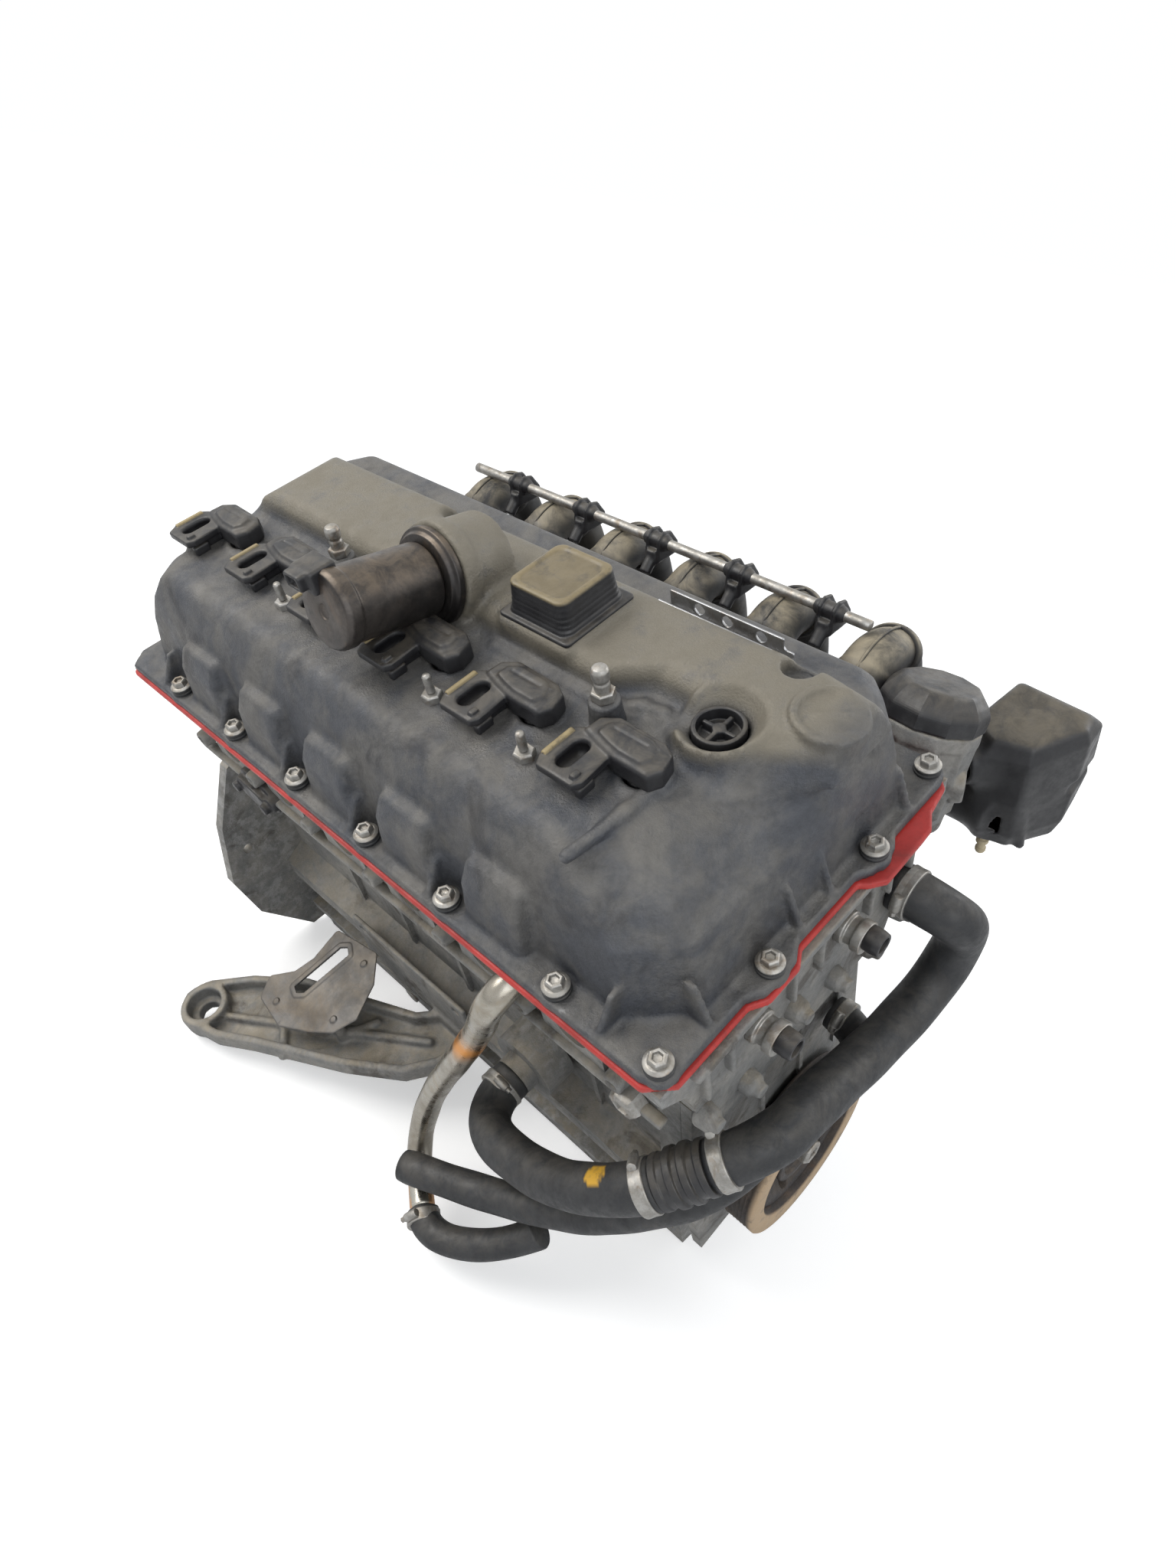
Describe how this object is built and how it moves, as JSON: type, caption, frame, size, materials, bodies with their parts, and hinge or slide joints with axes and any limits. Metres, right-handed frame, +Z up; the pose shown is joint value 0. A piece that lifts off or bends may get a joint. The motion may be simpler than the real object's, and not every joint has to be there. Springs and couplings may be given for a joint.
{
  "type": "straight-six petrol engine",
  "caption": "Long straight-six petrol engine without accessories: cast block and head, cam cover with ignition coils, lift motor, intake, hoses, crank pulley and mount arm",
  "frame": {"origin": "centre of the crankshaft rear flange face, on the crank axis", "axes": "+Y out of the rear flange along the crank axis towards the gearbox, -Y towards the crank pulley at the front, +Z up with the cylinders leaning 20 degrees towards -X, +X the intake side"},
  "size_m": [0.5387, 0.725, 0.633],
  "materials": {
    "black_plastic": "moulded, dusty",
    "black_rubber": "matt, dusty",
    "bright_pipe": "bright plated, light scratches",
    "cast_aluminium": "sand cast, dull and dusty",
    "cast_cover": "cast, brown dust and oil film",
    "ceramic_and_steel": "plated, ceramic inside",
    "dark_metal": "black coated can",
    "filter_paper": "pleated paper",
    "piston_alloy": "machined",
    "red_seal": "moulded silicone",
    "rusted_iron": "surface rust",
    "sheet_steel": "pressed sheet, dull",
    "steel": "machined, oiled",
    "zinc_plated": "zinc plated"
  },
  "bodies": {
    "engine": {"bedplate": "cast_aluminium", "bellhousing_flange": "cast_aluminium", "bolt_bushings": "black_rubber", "coil_1": "black_plastic", "coil_2": "black_plastic", "coil_3": "black_plastic", "coil_4": "black_plastic", "coil_5": "black_plastic", "coil_6": "black_plastic", "coolant_pump": "cast_aluminium", "cover_bolts": "zinc_plated", "cover_gasket": "red_seal", "cover_plug": "black_plastic", "cover_posts": "zinc_plated", "cover_studs": "zinc_plated", "crankcase": "cast_aluminium", "cylinder_head": "cast_aluminium", "drain_plug": "zinc_plated", "duct_box": "black_plastic", "duct_nipple": "zinc_plated", "elbow_hose": "black_rubber", "filter_element": "filter_paper", "filter_housing": "cast_aluminium", "head_gasket": "sheet_steel", "head_plug": "zinc_plated", "heat_shield": "sheet_steel", "hose_coupler": "black_plastic", "intake_plenum": "black_plastic", "intake_rail": "black_plastic", "intake_runners": "black_plastic", "lower_hose": "black_rubber", "mount_bracket": "cast_aluminium", "oil_sump": "cast_aluminium", "phaser_solenoids": "zinc_plated", "pipe_hose": "black_rubber", "servo_flange": "black_plastic", "servo_motor": "dark_metal", "spark_plugs": "ceramic_and_steel", "steel_pipe": "bright_pipe", "support_rail": "zinc_plated", "throttle_body": "cast_aluminium", "timing_chain": "steel", "timing_cover": "cast_aluminium", "upper_hose": "black_rubber", "valve_cover": "cast_cover", "valves": "steel"},
    "crank": {"crankshaft": "steel", "damper_pulley": "rusted_iron"},
    "exhaust_cam": {"exhaust_camshaft": "steel"},
    "intake_cam": {"intake_camshaft": "steel"},
    "eccentric_shaft": {"lift_shaft": "steel"},
    "flap": {"throttle_flap": "zinc_plated"},
    "oil_cap": {"filler_cap": "black_plastic"},
    "filter_lid": {"filter_cap": "black_plastic"},
    "piston_1_body": {"piston_1": "piston_alloy"},
    "piston_2_body": {"piston_2": "piston_alloy"},
    "piston_3_body": {"piston_3": "piston_alloy"},
    "piston_4_body": {"piston_4": "piston_alloy"},
    "piston_5_body": {"piston_5": "piston_alloy"},
    "piston_6_body": {"piston_6": "piston_alloy"}
  },
  "joints": [
    {"name": "crank_turn", "type": "hinge", "parent": "engine", "child": "crank", "pos_m": [0, 0, 0], "axis": [0, 1, 0], "continuous": true},
    {"name": "exhaust_cam_turn", "type": "hinge", "parent": "engine", "child": "exhaust_cam", "pos_m": [-0.18395, -0.3, 0.30072], "axis": [0, 1, 0], "continuous": true},
    {"name": "intake_cam_turn", "type": "hinge", "parent": "engine", "child": "intake_cam", "pos_m": [-0.05239, -0.3, 0.3486], "axis": [0, 1, 0], "continuous": true},
    {"name": "lift_turn", "type": "hinge", "parent": "engine", "child": "eccentric_shaft", "pos_m": [-0.07923, -0.3, 0.38726], "axis": [0, 1, 0], "range_deg": [0, 170]},
    {"name": "flap_turn", "type": "hinge", "parent": "engine", "child": "flap", "pos_m": [0.18651, -0.592, 0.29455], "axis": [0.9397, 0, 0.342], "range_deg": [0, 80]},
    {"name": "oil_cap_turn", "type": "hinge", "parent": "engine", "child": "oil_cap", "pos_m": [-0.1159, -0.412, 0.44415], "axis": [-0.342, 0, 0.9397], "range_deg": [0, 90]},
    {"name": "filter_lid_turn", "type": "hinge", "parent": "engine", "child": "filter_lid", "pos_m": [0.08515, -0.606, 0.38444], "axis": [0.0872, 0, 0.9962], "continuous": true},
    {"name": "piston_1_slide", "type": "slide", "parent": "engine", "child": "piston_1_body", "axis": [-0.342, 0, 0.9397], "range_m": [-0.088, 0]},
    {"name": "piston_2_slide", "type": "slide", "parent": "engine", "child": "piston_2_body", "axis": [-0.342, 0, 0.9397], "range_m": [-0.01654, 0.07146]},
    {"name": "piston_3_slide", "type": "slide", "parent": "engine", "child": "piston_3_body", "axis": [-0.342, 0, 0.9397], "range_m": [-0.01654, 0.07146]},
    {"name": "piston_4_slide", "type": "slide", "parent": "engine", "child": "piston_4_body", "axis": [-0.342, 0, 0.9397], "range_m": [-0.01654, 0.07146]},
    {"name": "piston_5_slide", "type": "slide", "parent": "engine", "child": "piston_5_body", "axis": [-0.342, 0, 0.9397], "range_m": [-0.01654, 0.07146]},
    {"name": "piston_6_slide", "type": "slide", "parent": "engine", "child": "piston_6_body", "axis": [-0.342, 0, 0.9397], "range_m": [-0.088, 0]}
  ],
  "couplings": [
    {"joint": "exhaust_cam_turn", "follows": "crank_turn", "ratio": 0.5},
    {"joint": "intake_cam_turn", "follows": "crank_turn", "ratio": 0.5}
  ]
}
